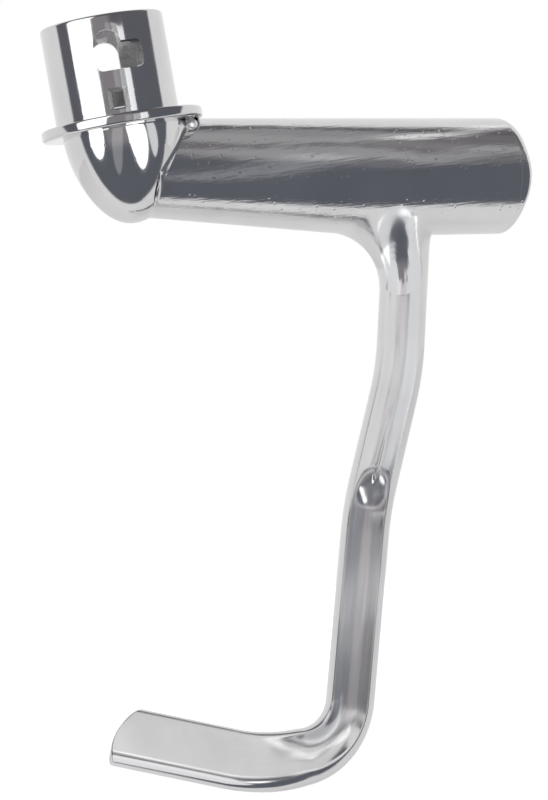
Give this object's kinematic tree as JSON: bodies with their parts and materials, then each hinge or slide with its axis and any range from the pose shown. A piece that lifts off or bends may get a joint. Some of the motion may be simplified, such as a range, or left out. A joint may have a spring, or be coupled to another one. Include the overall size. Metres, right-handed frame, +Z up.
{
  "type": "dough hook",
  "caption": "C-shaped dough hook of a planetary mixer: a bayonet drive socket with a collar, a tubular arm and a scooped bar that turns under into a flat foot.",
  "frame": {"origin": "centre of the drive socket's open mouth, on the socket's axis", "axes": "+Z up along the socket's axis, out of its mouth; +X towards the arm's outer end; hook hangs down along -Z"},
  "size_m": [0.1109, 0.0328, 0.1598],
  "materials": {
    "polished_steel": "mirror polished, with fine scratches and a slight ripple",
    "weld_metal": "weld dressed smooth and polished with the rest"
  },
  "bodies": {
    "root": {"drive_socket": "polished_steel", "collar": "polished_steel", "knuckle": "polished_steel", "knuckle_weld": "weld_metal", "arm_tube": "polished_steel", "arm_end_plug": "polished_steel", "hook_bar": "polished_steel", "hook_weld": "weld_metal"}
  },
  "joints": []
}
